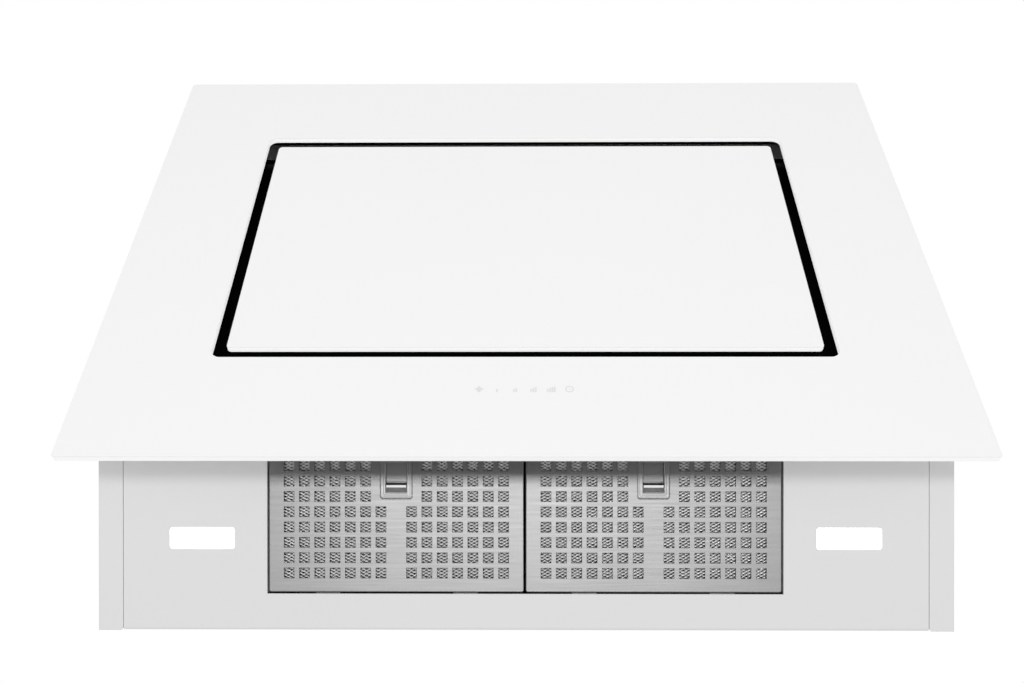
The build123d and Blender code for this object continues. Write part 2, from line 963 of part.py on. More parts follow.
# Inner baffle that seats the third grease filter
baffle_half = web_face - baffle_clearance
baffle_back = -baffle_depth - casing_sheet
baffle_end = slope_u(panel_top - casing_sheet - baffle_clearance, baffle_back)
front_half = panel_half - front_filter_inset
front_filter_end = front_filter_start + front_filter_length
seat_half = front_half - front_filter_rim
seat_lower = front_filter_start + front_filter_rim
seat_upper = front_filter_end - front_filter_rim
filter_face = front_filter_thickness - baffle_depth
front_latch = Plane(origin=(0, front_filter_end, filter_face), x_dir=(1, 0, 0), z_dir=(0, 0, -1))
baffle = block(-baffle_half, baffle_half, baffle_start, baffle_end, baffle_back, -baffle_depth)
baffle += block(
    -baffle_half, baffle_half, baffle_start, baffle_start + casing_sheet, -baffle_depth, flange_back
)
baffle -= block(-seat_half, seat_half, seat_lower, seat_upper, baffle_back - 1, 0)
ledge_end = front_filter_start - baffle_clearance
baffle += block(
    -baffle_ledge_width / 2,
    baffle_ledge_width / 2,
    ledge_end - casing_sheet,
    ledge_end,
    -baffle_depth,
    filter_face,
)
keeper_start = front_filter_end + tongue_reach / 2
baffle += block(
    -keeper_width / 2,
    keeper_width / 2,
    keeper_start,
    keeper_start + casing_sheet,
    -baffle_depth,
    filter_face,
)
baffle -= front_latch * Pos(0, -2 * tongue_reach, 0) * tongue_slot()
save("inner_baffle", on_slope(baffle))

# Third grease filter behind the centre panel
rim = rounded_block(
    -front_half,
    front_half,
    front_filter_start,
    front_filter_end,
    -baffle_depth,
    filter_face,
    filter_corner_radius,
)
rim -= block(-seat_half, seat_half, seat_lower, seat_upper, -baffle_depth - 1, 0)
rim -= front_latch * latch_pocket(front_filter_thickness + 1)
save("front_filter_frame", on_slope(rim))
front_mesh = mesh_pack(
    -seat_half,
    seat_half,
    seat_lower,
    seat_upper,
    filter_sheet - baffle_depth,
    filter_face - filter_sheet,
)
front_pocket = front_latch * latch_pocket(front_filter_thickness + 1)
save("front_filter_mesh", *[on_slope(layer - front_pocket) for layer in front_mesh])
save("front_latch_cup", on_slope(front_latch * latch_cup()))
save("front_latch_slider", on_slope(front_latch * latch_slider()))
save("front_latch_spring", on_slope(front_latch * latch_spring()))

# Lamps: lens, housing and LED board
shoulder_length = lens_length + 2 * lens_shoulder
shoulder_width = lens_width + 2 * lens_shoulder
shoulder_top = casing_sheet + lens_shoulder_thickness
lens = extrude(RectangleRounded(lens_length, lens_width, lens_corner_radius), casing_sheet)
lens += Pos(0, 0, casing_sheet) * extrude(
    RectangleRounded(shoulder_length, shoulder_width, lens_corner_radius), lens_shoulder_thickness
)
housing_length = shoulder_length + 2 * (lens_clearance + lamp_housing_wall)
housing_width = shoulder_width + 2 * (lens_clearance + lamp_housing_wall)
housing_top = casing_sheet + lamp_housing_height
housing = Pos(0, 0, casing_sheet) * extrude(
    RectangleRounded(housing_length, housing_width, lens_corner_radius), lamp_housing_height
)
ear_length = housing_length + 4 * screw_head_radius
housing += Pos(0, 0, casing_sheet) * extrude(
    RectangleRounded(ear_length, 2 * screw_head_radius, lens_corner_radius), lamp_housing_wall
)
housing -= block(
    -shoulder_length / 2 - lens_clearance,
    shoulder_length / 2 + lens_clearance,
    -shoulder_width / 2 - lens_clearance,
    shoulder_width / 2 + lens_clearance,
    casing_sheet - 1,
    housing_top - lamp_housing_wall,
)
board_top = casing_sheet + lamp_board_height + board_thickness
lamp_board = block(
    -shoulder_length / 2,
    shoulder_length / 2,
    -shoulder_width / 2,
    shoulder_width / 2,
    casing_sheet + lamp_board_height,
    board_top,
)
led_pitch = lens_length / led_count
for i in range(led_count):
    x = (i - (led_count - 1) / 2) * led_pitch
    lamp_board += Pos(x, 0, casing_sheet + lamp_board_height - board_thickness / 2) * Box(
        led_pitch / 3, led_pitch / 3, board_thickness
    )
    lamp_board += rod_z(board_top, housing_top - lamp_housing_wall, x, 0, screw_radius)
lamp_places = [Pos(side * lamp_x, -lamp_depth, 0) for side in fixing_sides]
save("lamp_lenses", *[place * lens for place in lamp_places])
save("lamp_housings", *[place * housing for place in lamp_places])
save("lamp_boards", *[place * lamp_board for place in lamp_places])

# Touch board with its sensor pads, and the cover behind it
board_face = -glass_thickness - touch_air_gap
pad_back = board_face - board_thickness / 4
touch_board = block(
    -touch_board_length / 2,
    touch_board_length / 2,
    touch_height - touch_board_width / 2,
    touch_height + touch_board_width / 2,
    pad_back - board_thickness,
    pad_back,
)
for i in range(touch_key_count):
    x = (i - (touch_key_count - 1) / 2) * touch_key_pitch
    touch_board += Pos(x, touch_height, (pad_back + board_face) / 2) * Cylinder(
        touch_key_pitch / 3, board_face - pad_back
    )
save("touch_board", on_slope(touch_board))
cover_half = window_half
cover_back = casing_face - touch_cover_depth
touch_cover = block(-cover_half, cover_half, window_lower, window_upper, cover_back, casing_face)
touch_cover -= block(
    -cover_half + touch_cover_wall,
    cover_half - touch_cover_wall,
    window_lower + touch_cover_wall,
    window_upper - touch_cover_wall,
    cover_back + touch_cover_wall,
    casing_face,
)
for side in fixing_sides:
    stud = block(-3, 3, -3, 3, cover_back, pad_back - board_thickness)
    touch_cover += Pos(side * (touch_board_length / 2 - 6), touch_height, 0) * stud
touch_cover += block(
    -cover_half - top_flange_width,
    -cover_half,
    window_lower,
    window_upper,
    casing_face - touch_cover_wall,
    casing_face,
)
touch_cover += block(
    cover_half,
    cover_half + top_flange_width,
    window_lower,
    window_upper,
    casing_face - touch_cover_wall,
    casing_face,
)
save("touch_board_cover", on_slope(touch_cover))


# Blower scroll: a spiral that widens from the tongue round to the outlet
def scroll_point(angle, growth):
    """Point on the spiral, moved out by growth, at an angle from the wall direction."""
    swept = (scroll_tongue_angle - angle) / (scroll_tongue_angle + 180)
    radius = scroll_tongue_radius * (scroll_outlet_radius / scroll_tongue_radius) ** swept + growth
    y = -blower_depth + radius * math.cos(math.radians(angle))
    z = blower_height + radius * math.sin(math.radians(angle))
    return (y, z)


def scroll_outline(growth):
    """Outline of the scroll and its outlet, moved out by growth."""
    turns = 8
    step = (scroll_tongue_angle + 180) / turns
    points = [scroll_point(scroll_tongue_angle - i * step, growth) for i in range(turns + 1)]
    spiral = Spline(*points)
    start = points[0]
    end = points[-1]
    rear_top = (tongue_y + throat_lean + growth, outlet_z)
    front_top = (end[0], outlet_z)
    return make_face([spiral, Line(end, front_top), Line(front_top, rear_top), Line(rear_top, start)])


flange_half = scroll_flange_size / 2
scroll_space = along_x(scroll_outline(0), blower_left + scroll_wall, blower_right - scroll_wall)
scroll = along_x(scroll_outline(scroll_wall), blower_left, blower_right)
scroll += block(
    -flange_half,
    flange_half,
    -outlet_depth - flange_half,
    -outlet_depth + flange_half,
    outlet_z - scroll_wall,
    outlet_z,
)
scroll -= scroll_space
scroll -= collar_screw_holes()
left_half = block(-casing_half, 0, -glass_length, 0, 0, casing_height)
right_half = block(0, casing_half, -glass_length, 0, 0, casing_height)
motor_side = scroll & left_half
motor_side -= rod_x(blower_left - 1, 0, -blower_depth, blower_height, hub_radius + 2 * scroll_wall)
for y, z in motor_screws:
    motor_side -= rod_x(blower_left - 1, 0, y, z, screw_radius + hole_clearance)
inlet_side = scroll & right_half
inlet_end = impeller_offset + impeller_length + inlet_collar_gap
inlet_outer = inlet_radius + inlet_collar_wall
inlet_side += tube_x(inlet_end, blower_right, -blower_depth, blower_height, inlet_outer, inlet_radius)
inlet_side -= rod_x(inlet_end - 1, blower_right + 1, -blower_depth, blower_height, inlet_radius)
save("scroll_motor_side", motor_side)
save("scroll_inlet_side", inlet_side)

# Grille over the inlet: rings on six spokes
grille_end = blower_right + grille_wire
grille = tube_x(
    blower_right,
    grille_end,
    -blower_depth,
    blower_height,
    inlet_outer + grille_wire,
    inlet_radius - grille_wire / 2,
)
for fraction in (0.25, 0.5, 0.75):
    ring = inlet_radius * fraction
    grille += tube_x(blower_right, grille_end, -blower_depth, blower_height, ring + grille_wire, ring)
for i in range(3):
    spoke = Box(grille_wire, 2 * inlet_radius, grille_wire)
    grille += Pos(blower_right + grille_wire / 2, -blower_depth, blower_height) * Rot(60 * i, 0, 0) * spoke
save("inlet_grille", grille)

# Impeller: back plate, hub, leaning blades and front ring
impeller_end = impeller_offset + impeller_length
blade_start = (impeller_inner_radius, 0.0)
blade_tip_angle = math.radians(blade_lean)
blade_tip = (
    (impeller_radius - blade_thickness / 2) * math.cos(blade_tip_angle),
    (impeller_radius - blade_thickness / 2) * math.sin(blade_tip_angle),
)
blade_bow = blade_thickness
blade_middle = (
    (blade_start[0] + blade_tip[0]) / 2 + blade_bow,
    (blade_start[1] + blade_tip[1]) / 2 - blade_bow,
)
near_arc = ThreePointArc(blade_start, blade_middle, blade_tip)
far_arc = ThreePointArc(
    (blade_start[0], blade_start[1] + blade_thickness),
    (blade_middle[0], blade_middle[1] + blade_thickness),
    (blade_tip[0], blade_tip[1] + blade_thickness),
)
blade_face = make_face([near_arc, far_arc, Line(near_arc @ 0, far_arc @ 0), Line(near_arc @ 1, far_arc @ 1)])
blade = extrude(blade_face, impeller_length - 2)
impeller = Cylinder(impeller_radius, impeller_plate, align=(Align.CENTER, Align.CENTER, Align.MIN))
impeller += Cylinder(hub_radius, hub_length, align=(Align.CENTER, Align.CENTER, Align.MIN))
front_ring = Cylinder(impeller_radius, impeller_plate) - Cylinder(
    impeller_radius - impeller_ring_width, impeller_plate
)
impeller += Pos(0, 0, impeller_length - impeller_plate / 2) * front_ring
blades = [Rot(0, 0, 360 / blade_count * i) * Pos(0, 0, 1) * blade for i in range(blade_count)]
impeller += blades
impeller -= Cylinder(shaft_radius, 4 * hub_length)
blower_axis = Plane(
    origin=(impeller_offset, -blower_depth, blower_height), x_dir=(0, 1, 0), z_dir=(1, 0, 0)
)
save("impeller", blower_axis * impeller)

# Motor: can with its mounting plate, stator ring, rotor with shaft, rubber grommets
plate_right = blower_left - grommet_thickness
plate_left = plate_right - motor_wall
can_left = plate_left - motor_length
can = rod_x(can_left, plate_left, -blower_depth, blower_height, motor_radius)
can = fillet(can.edges().sort_by(Axis.X)[0], 3 * motor_wall)
can += rod_x(plate_left, plate_right, -blower_depth, blower_height, motor_plate_radius)
can -= rod_x(
    can_left + motor_wall, plate_left, -blower_depth, blower_height, motor_radius - motor_wall
)
can -= rod_x(can_left - 1, plate_right + 1, -blower_depth, blower_height, shaft_radius + shaft_clearance)
for y, z in motor_screws:
    can -= rod_x(plate_left - 1, plate_right + 1, y, z, screw_radius + hole_clearance)
save("motor_housing", can)
winding_left = can_left + 6 * motor_wall
winding_right = plate_left - 6 * motor_wall
stator = tube_x(
    winding_left,
    winding_right,
    -blower_depth,
    blower_height,
    motor_radius - motor_wall,
    rotor_radius + stator_gap,
)
save("motor_stator", stator)
rotor = rod_x(winding_left, winding_right, -blower_depth, blower_height, rotor_radius)
rotor += rod_x(
    can_left, impeller_offset + hub_length, -blower_depth, blower_height, shaft_radius
)
save("motor_rotor", rotor)
grommets = []
for y, z in motor_screws:
    grommets.append(tube_x(plate_right, blower_left, y, z, grommet_radius, screw_radius + hole_clearance))
save("motor_grommets", *grommets)

# Gasket between the blower and the top panel
gasket = block(
    -flange_half,
    flange_half,
    -outlet_depth - flange_half,
    -outlet_depth + flange_half,
    outlet_z,
    panel_top,
)
gasket -= rod_z(outlet_z - 1, panel_top + 1, 0, -outlet_depth, collar_radius - collar_wall)
gasket -= collar_screw_holes()
save("outlet_gasket", gasket)

# Outlet collar with a ledge that stops the flaps
collar_inner = collar_radius - collar_wall
flange_top = casing_height + collar_flange_thickness
collar_top = casing_height + collar_height
flap_bottom = casing_height + flap_height
spindle_z = flap_bottom + flap_thickness / 2
collar = rod_z(casing_height, flange_top, 0, -outlet_depth, collar_flange_radius)
collar += rod_z(casing_height, collar_top, 0, -outlet_depth, collar_radius)
collar -= rod_z(casing_height - 1, collar_top + 1, 0, -outlet_depth, collar_inner)
ledge = rod_z(flap_bottom - ledge_thickness, flap_bottom, 0, -outlet_depth, collar_inner)
ledge -= rod_z(flap_bottom - ledge_thickness, flap_bottom, 0, -outlet_depth, collar_inner - ledge_width)
spindle_room = block(
    -collar_inner,
    collar_inner,
    -outlet_depth - flap_offset - 2 * spindle_radius,
    -outlet_depth + flap_offset + 2 * spindle_radius,
    flap_bottom - ledge_thickness,
    flap_bottom,
)
collar += ledge - spindle_room
for side in fixing_sides:
    collar -= rod_x(
        -collar_radius - 1,
        collar_radius + 1,
        side * flap_offset - outlet_depth,
        spindle_z,
        spindle_radius + spindle_clearance,
    )
collar -= collar_screw_holes()
save("outlet_collar", collar)

# Non-return flaps, each with its spindle
for name, side in (("front_flap", -1), ("rear_flap", 1)):
    disc = rod_z(flap_bottom, flap_bottom + flap_thickness, 0, -outlet_depth, collar_inner - flap_clearance)
    near = side * flap_offset - outlet_depth
    far = side * collar_radius - outlet_depth
    half_space = block(
        -collar_radius, collar_radius, min(near, far), max(near, far), flap_bottom - 1, flap_bottom + 2
    )
    flap = disc & half_space
    flap += rod_x(-collar_radius, collar_radius, near, spindle_z, spindle_radius)
    save(name, flap)

# Control box on the back panel, its cover, its board, and the motor capacitor beside it
box_right = box_left + box_length
box_top = box_bottom + box_height
box_back = flange_inner
box_front = box_back - box_depth
control_box = block(box_left, box_right, box_front, box_back, box_bottom, box_top)
control_box -= block(
    box_left + box_wall,
    box_right - box_wall,
    box_front,
    box_back - box_wall,
    box_bottom + box_wall,
    box_top - box_wall,
)
save("control_box_base", control_box)
box_cover = block(box_left, box_right, box_front - box_lid, box_front, box_bottom, box_top)
box_cover = fillet(box_cover.faces().sort_by(Axis.Y)[0].edges(), box_lid / 2)
save("control_box_cover", box_cover)
board_margin = 2 * box_wall
board_stand = 6.0
board_y = box_back - box_wall - board_stand
power_board = block(
    box_left + board_margin,
    box_right - board_margin,
    board_y - board_thickness,
    board_y,
    box_bottom + board_margin,
    box_top - board_margin,
)
for x in (box_left + 3 * board_margin, box_right - 3 * board_margin):
    for z in (box_bottom + 3 * board_margin, box_top - 3 * board_margin):
        power_board += rod_y(board_y, box_back - box_wall, x, z, screw_radius)
components = (
    (16.0, 20.0, 30.0, 24.0, 26.0),
    (58.0, 16.0, 20.0, 16.0, 12.0),
    (58.0, 38.0, 20.0, 16.0, 12.0),
    (20.0, 60.0, 44.0, 12.0, 14.0),
    (70.0, 62.0, 14.0, 14.0, 22.0),
)
for left, low, width, height, depth in components:
    power_board += block(
        box_left + left,
        box_left + left + width,
        board_y - board_thickness - depth,
        board_y - board_thickness,
        box_bottom + low,
        box_bottom + low + height,
    )
save("power_board", power_board)

capacitor_x = box_right + capacitor_radius + capacitor_gap
capacitor_y = box_back - capacitor_radius - capacitor_gap
capacitor_low = box_bottom + board_margin
capacitor = rod_z(
    capacitor_low, capacitor_low + capacitor_length, capacitor_x, capacitor_y, capacitor_radius
)
saddle = block(
    capacitor_x - capacitor_radius,
    capacitor_x + capacitor_radius,
    capacitor_y,
    box_back,
    capacitor_low + capacitor_radius,
    capacitor_low + capacitor_radius + saddle_width,
)
saddle += Pos(0, 0, capacitor_radius) * rod_z(
    capacitor_low, capacitor_low + saddle_width, capacitor_x, capacitor_y, capacitor_radius + capacitor_gap / 2
)
saddle -= rod_z(
    capacitor_low, capacitor_low + capacitor_length, capacitor_x, capacitor_y, capacitor_radius
)
save("motor_capacitor", capacitor)
save("capacitor_clip", saddle)

# Cable gland in the top panel
gland = Pos(gland_x, -gland_depth, casing_height) * extrude(RegularPolygon(gland_radius, 6), gland_height / 2)
gland += rod_z(casing_height, casing_height + gland_height, gland_x, -gland_depth, gland_thread_radius)
gland += rod_z(panel_top - 2 * gland_nut_thickness, casing_height, gland_x, -gland_depth, gland_thread_radius)
gland += Pos(gland_x, -gland_depth, panel_top - gland_nut_thickness) * extrude(
    RegularPolygon(gland_radius, 6), gland_nut_thickness
)
gland -= rod_z(
    panel_top - 2 * gland_nut_thickness - 1,
    casing_height + gland_height + 1,
    gland_x,
    -gland_depth,
    gland_bore_radius,
)
save("cable_gland", gland)

# Screws
casing_screws = []
for x, z in rear_screws:
    screw = rod_y(flange_inner, -casing_sheet / 2, x, z, screw_radius)
    screw += rod_y(flange_inner - screw_head_height, flange_inner, x, z, screw_head_radius)
    casing_screws.append(screw)
for x, y in top_screws:
    screw = rod_z(panel_top - casing_sheet, casing_height, x, y, screw_radius)
    screw += rod_z(casing_height, casing_height + screw_head_height, x, y, screw_head_radius)
    casing_screws.append(screw)
save("casing_screws", *casing_screws)
collar_bolts = []
for x, y in collar_screws:
    screw = rod_z(outlet_z - scroll_wall, flange_top, x, y, screw_radius)
    screw += rod_z(flange_top, flange_top + screw_head_height, x, y, screw_head_radius)
    collar_bolts.append(screw)
save("collar_screws", *collar_bolts)
motor_bolts = []
for y, z in motor_screws:
    screw = rod_x(plate_left, blower_left + scroll_wall, y, z, screw_radius)
    screw += rod_x(plate_left - screw_head_height, plate_left, y, z, screw_head_radius)
    motor_bolts.append(screw)
save("motor_screws", *motor_bolts)
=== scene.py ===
import json
import math

import bmesh
import bpy
from mathutils import Matrix, Vector


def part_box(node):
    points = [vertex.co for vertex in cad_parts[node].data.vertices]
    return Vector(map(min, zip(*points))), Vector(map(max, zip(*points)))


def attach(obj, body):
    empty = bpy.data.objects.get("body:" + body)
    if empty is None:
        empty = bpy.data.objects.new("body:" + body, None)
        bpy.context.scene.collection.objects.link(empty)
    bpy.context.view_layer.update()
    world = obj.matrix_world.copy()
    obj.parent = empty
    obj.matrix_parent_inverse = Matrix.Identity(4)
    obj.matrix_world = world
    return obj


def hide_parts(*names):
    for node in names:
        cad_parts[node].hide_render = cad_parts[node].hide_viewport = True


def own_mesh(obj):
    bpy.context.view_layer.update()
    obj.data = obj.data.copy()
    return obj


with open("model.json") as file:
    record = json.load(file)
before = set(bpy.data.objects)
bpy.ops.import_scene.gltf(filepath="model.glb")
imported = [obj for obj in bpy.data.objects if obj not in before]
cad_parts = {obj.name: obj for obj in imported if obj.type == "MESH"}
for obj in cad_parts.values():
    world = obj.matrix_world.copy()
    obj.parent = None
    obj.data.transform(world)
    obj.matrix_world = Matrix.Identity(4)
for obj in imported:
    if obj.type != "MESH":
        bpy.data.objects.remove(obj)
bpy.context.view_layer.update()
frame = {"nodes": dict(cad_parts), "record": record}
nodes = frame["nodes"]
MM = 0.001


def grey(level):
    return (level, level, level)


# Places that the CAD gives; the glass slopes at 45 degrees
glass_thickness = 4.0 * MM
slope_across = math.sin(math.radians(45))
underside_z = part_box("underside_panel")[0].z
face_reach = max(-v.co.y - v.co.z for v in nodes["front_glass"].data.vertices)
glass_foot = Vector((0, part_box("front_glass")[1].y - glass_thickness * slope_across, 0))
glass_foot.z = -face_reach - glass_foot.y


def on_glass(x, u, w):
    """Point at x, u up the sloping glass and w out from its face, in mm."""
    y = glass_foot.y - (u + w) * slope_across * MM
    z = glass_foot.z + (u - w) * slope_across * MM
    return Vector((x * MM, y, z))


# Camera at the photograph's place, square on to the underside
sensor_width = 36.0
focal_length = 38.738
camera_turn_x, camera_turn_y, camera_turn_z = 0.211, 0.585, -0.034
camera_x, camera_y, camera_distance = -0.00092, -0.1909, 0.7165
camera = bpy.data.objects.new("camera", bpy.data.cameras.new("camera"))
bpy.context.scene.collection.objects.link(camera)
camera.data.sensor_width = sensor_width
camera.data.lens = focal_length
camera.data.clip_start = 0.01
camera.data.clip_end = 60.0
turn = (
    Matrix.Rotation(math.radians(camera_turn_z), 3, "Z")
    @ Matrix.Rotation(math.radians(camera_turn_y), 3, "Y")
    @ Matrix.Rotation(math.radians(camera_turn_x), 3, "X")
)
look = Matrix((turn[0], -turn[1], -turn[2])).transposed().to_4x4()
look.translation = Vector((camera_x, camera_y, underside_z - camera_distance))
camera.matrix_world = look
bpy.context.scene.camera = camera
bpy.context.scene.view_settings.view_transform = "Standard"


# Node helpers
class Shader:
    """A material with its Principled shader and short calls for the nodes around it."""

    def __init__(self, name, color, roughness, metallic=0.0):
        self.material = bpy.data.materials.new(name)
        self.material.use_nodes = True
        self.tree = self.material.node_tree
        self.base = self.tree.nodes["Principled BSDF"]
        self.color = color
        self.base.inputs["Base Color"].default_value = (*color, 1)
        self.base.inputs["Roughness"].default_value = roughness
        self.base.inputs["Metallic"].default_value = metallic
        self.place = self.tree.nodes.new("ShaderNodeTexCoord").outputs["Object"]
        self.normal = None

    def add(self, kind, **values):
        node = self.tree.nodes.new(kind)
        for key, value in values.items():
            setattr(node, key, value)
        return node

    def link(self, start, end):
        self.tree.links.new(start, end)

    def stretched(self, scale):
        """Object coordinates scaled by axis."""
        mapping = self.add("ShaderNodeMapping")
        mapping.inputs["Scale"].default_value = scale
        self.link(self.place, mapping.inputs["Vector"])
        return mapping.outputs["Vector"]

    def noise(self, scale, detail=3.0, stretch=None, distortion=0.0):
        node = self.add("ShaderNodeTexNoise")
        node.inputs["Scale"].default_value = scale
        node.inputs["Detail"].default_value = detail
        node.inputs["Distortion"].default_value = distortion
        self.link(self.stretched(stretch) if stretch else self.place, node.inputs["Vector"])
        return node.outputs["Fac"]

    def cells(self, scale, feature="F1", stretch=None):
        node = self.add("ShaderNodeTexVoronoi", feature=feature)
        node.inputs["Scale"].default_value = scale
        self.link(self.stretched(stretch) if stretch else self.place, node.inputs["Vector"])
        return node

    def math(self, operation, *values):
        """Math node; each value is a socket or a number."""
        node = self.add("ShaderNodeMath", operation=operation)
        for i, value in enumerate(values):
            if isinstance(value, (int, float)):
                node.inputs[i].default_value = value
            else:
                self.link(value, node.inputs[i])
        return node.outputs[0]

    def remap(self, value, low, high, start=0.3, end=0.7):
        node = self.add("ShaderNodeMapRange")
        node.inputs["From Min"].default_value = start
        node.inputs["From Max"].default_value = end
        node.inputs["To Min"].default_value = low
        node.inputs["To Max"].default_value = high
        self.link(value, node.inputs["Value"])
        return node.outputs["Result"]

    def tint(self, value, spread, other=None):
        """Vary the base colour by spread either way, or from the darker shade to another colour."""
        mix = self.add("ShaderNodeMix", data_type="RGBA")
        low = tuple(max(c * (1 - spread), 0) for c in self.color)
        high = other or tuple(min(c * (1 + spread), 1) for c in self.color)
        mix.inputs[6].default_value = (*low, 1)
        mix.inputs[7].default_value = (*high, 1)
        self.link(value, mix.inputs[0])
        self.link(mix.outputs[2], self.base.inputs["Base Color"])
        return mix

    def rough(self, value, low, high):
        """Let the roughness follow a value between low and high."""
        self.link(self.remap(value, low, high), self.base.inputs["Roughness"])

    def edge(self, radius):
        """Round the look of sharp edges by a small radius."""
        node = self.add("ShaderNodeBevel", samples=6)
        node.inputs["Radius"].default_value = radius
        self.normal = node.outputs["Normal"]
        self.link(self.normal, self.base.inputs["Normal"])

    def lean(self, slope):
        """Lean the normals towards the front, as a grain with one flat and one steep flank does."""
        front = self.add("ShaderNodeVectorTransform")
        front.vector_type = "VECTOR"
        front.convert_from = "OBJECT"
        front.convert_to = "WORLD"
        front.inputs[0].default_value = (0, -slope, 0)
        leaning = self.add("ShaderNodeVectorMath", operation="ADD")
        self.link(self.normal, leaning.inputs[0])
        self.link(front.outputs[0], leaning.inputs[1])
        unit = self.add("ShaderNodeVectorMath", operation="NORMALIZE")
        self.link(leaning.outputs[0], unit.inputs[0])
        self.normal = unit.outputs[0]
        self.link(self.normal, self.base.inputs["Normal"])

    def bump(self, value, distance):
        node = self.add("ShaderNodeBump")
        node.inputs["Distance"].default_value = distance
        node.inputs["Strength"].default_value = 1.0
        self.link(value, node.inputs["Height"])
        if self.normal:
            self.link(self.normal, node.inputs["Normal"])
        self.normal = node.outputs["Normal"]
        self.link(self.normal, self.base.inputs["Normal"])


# A block round the cut-out in the front glass, in which the glass has no outer edge; there its edges get
# the stronger painted glow
cutout_half_width = 0.25
cutout_middle_y = -0.265
cutout_half_depth = 0.12


def enamel(name, color, roughness, peel=0.03 * MM, edge=0.5 * MM):
    """Baked enamel on sheet metal: orange peel and a faint change of tone."""
    s = Shader(name, color, roughness)
    s.tint(s.noise(9, 4), 0.012)
    s.rough(s.noise(60, 3), roughness - 0.05, roughness + 0.05)
    s.edge(edge)
    s.bump(s.noise(650, 2), peel)
    return s


def back_painted_glass(name, painted_edge_light, painted_cutout_light=None):
    """Polished glass with white paint behind it; its edges get a painted glow, an emission that makes them
    as bright as the faces, stronger round the cut-out.

    The edges are told from the two faces by their normals, and those of the cut-out by their place.
    """
    s = Shader(name, grey(0.865), 0.06)
    s.base.inputs["IOR"].default_value = 1.5
    s.tint(s.noise(3.5, 2), 0.006)
    s.rough(s.noise(14, 5, distortion=0.6), 0.045, 0.085)
    across = s.add("ShaderNodeVectorMath", operation="DOT_PRODUCT")
    s.link(s.tree.nodes["Texture Coordinate"].outputs["Normal"], across.inputs[0])
    across.inputs[1].default_value = (0, slope_across, slope_across)
    flat = s.math("ABSOLUTE", across.outputs["Value"])
    # Painted glow: emission on the edge faces, which makes them as bright as the faces
    glow = s.remap(flat, painted_edge_light, 0, 0.45, 0.55)
    if painted_cutout_light:
        axes = s.add("ShaderNodeSeparateXYZ")
        s.link(s.place, axes.inputs[0])
        near_x = s.math("COMPARE", axes.outputs["X"], 0.0, cutout_half_width)
        near_y = s.math("COMPARE", axes.outputs["Y"], cutout_middle_y, cutout_half_depth)
        at_cutout = s.math("MULTIPLY", near_x, near_y)
        glow = s.math("MULTIPLY", glow, s.remap(at_cutout, 1, painted_cutout_light / painted_edge_light, 0, 1))
    s.base.inputs["Emission Color"].default_value = (1.0, 1.0, 1.0, 1)
    s.link(glow, s.base.inputs["Emission Strength"])
    s.bump(s.noise(25, 2), 0.00001)
    return s


def satin_aluminium(name, level, metallic=1.0):
    """Satin sheet aluminium whose rolling lines run along X and lean to the front."""
    roughness = 0.38
    s = Shader(name, grey(level), roughness, metallic=metallic)
    lines = s.noise(900, 3, stretch=(0.03, 1, 1))
    s.tint(s.noise(18, 4), 0.02)
    s.rough(lines, roughness - 0.03, roughness + 0.03)
    s.edge(0.0003)
    s.lean(0.35)
    s.bump(lines, 0.000008)
    return s


def mesh_aluminium(name, level):
    """Bright expanded aluminium foil."""
    s = Shader(name, grey(level), 0.42, metallic=1.0)
    s.tint(s.noise(140, 3), 0.14)
    s.rough(s.noise(400, 2), 0.34, 0.52)
    s.bump(s.noise(1500, 2), 0.00004)
    return s


def galvanised(name):
    """Galvanised sheet with its spangle."""
    s = Shader(name, (0.58, 0.59, 0.6), 0.42, metallic=1.0)
    spangle = s.cells(130)
    grey = s.add("ShaderNodeRGBToBW")
    s.link(spangle.outputs["Color"], grey.inputs["Color"])
    s.tint(s.remap(grey.outputs["Val"], 0, 1, 0.1, 0.9), 0.09)
    s.rough(grey.outputs["Val"], 0.36, 0.5)
    s.edge(0.0004)
    s.bump(s.noise(300, 3), 0.00003)
    return s


def plastic(name, color, roughness, grain=0.00004, grain_scale=1400, spread=0.02):
    """Moulded plastic with a fine spark-eroded grain."""
    s = Shader(name, color, roughness)
    s.tint(s.noise(30, 3), spread)
    s.rough(s.noise(500, 2), roughness - 0.05, roughness + 0.06)
    s.edge(0.0003)
    s.bump(s.noise(grain_scale, 3), grain)
    return s


def rubber(name, color, roughness=0.85, pore=900, depth=0.0001):
    """Foam or rubber with open pores."""
    s = Shader(name, color, roughness)
    pores = s.cells(pore).outputs["Distance"]
    # Darker in the pores' hollows: painted shade
    s.tint(s.remap(pores, 0, 1, 0, 0.9), 0.35)
    s.rough(s.noise(200, 2), roughness - 0.06, min(roughness + 0.06, 1))
    s.bump(pores, depth)
    return s


def steel(name, color, roughness, scratches=(1, 1, 0.05), tone=0.05):
    """Machined or drawn steel with fine lines."""
    s = Shader(name, color, roughness, metallic=1.0)
    lines = s.noise(1400, 3, stretch=scratches)
    s.tint(s.noise(80, 3), tone)
    s.rough(lines, roughness - 0.06, roughness + 0.08)
    s.edge(0.0002)
    s.bump(lines, 0.00001)
    return s


def circuit_board(name):
    """Green board with copper tracks under the resist."""
    s = Shader(name, (0.02, 0.13, 0.05), 0.35)
    tracks = s.cells(420, "DISTANCE_TO_EDGE").outputs["Distance"]
    s.tint(s.remap(tracks, 1, 0, 0.03, 0.09), 0.1, (0.05, 0.26, 0.1))
    s.rough(s.noise(300, 2), 0.28, 0.42)
    s.bump(tracks, 0.00003)
    return s


def winding(name):
    """Lacquered copper wire round the stator."""
    s = Shader(name, (0.5, 0.22, 0.08), 0.35, metallic=1.0)
    wave = s.add("ShaderNodeTexWave", bands_direction="X")
    wave.inputs["Scale"].default_value = 500
    wave.inputs["Distortion"].default_value = 1.5
    s.link(s.place, wave.inputs["Vector"])
    # Darker in the grooves between the turns: painted shade
    s.tint(wave.outputs["Fac"], 0.35)
    s.rough(s.noise(200, 2), 0.28, 0.45)
    s.bump(wave.outputs["Fac"], 0.0002)
    return s


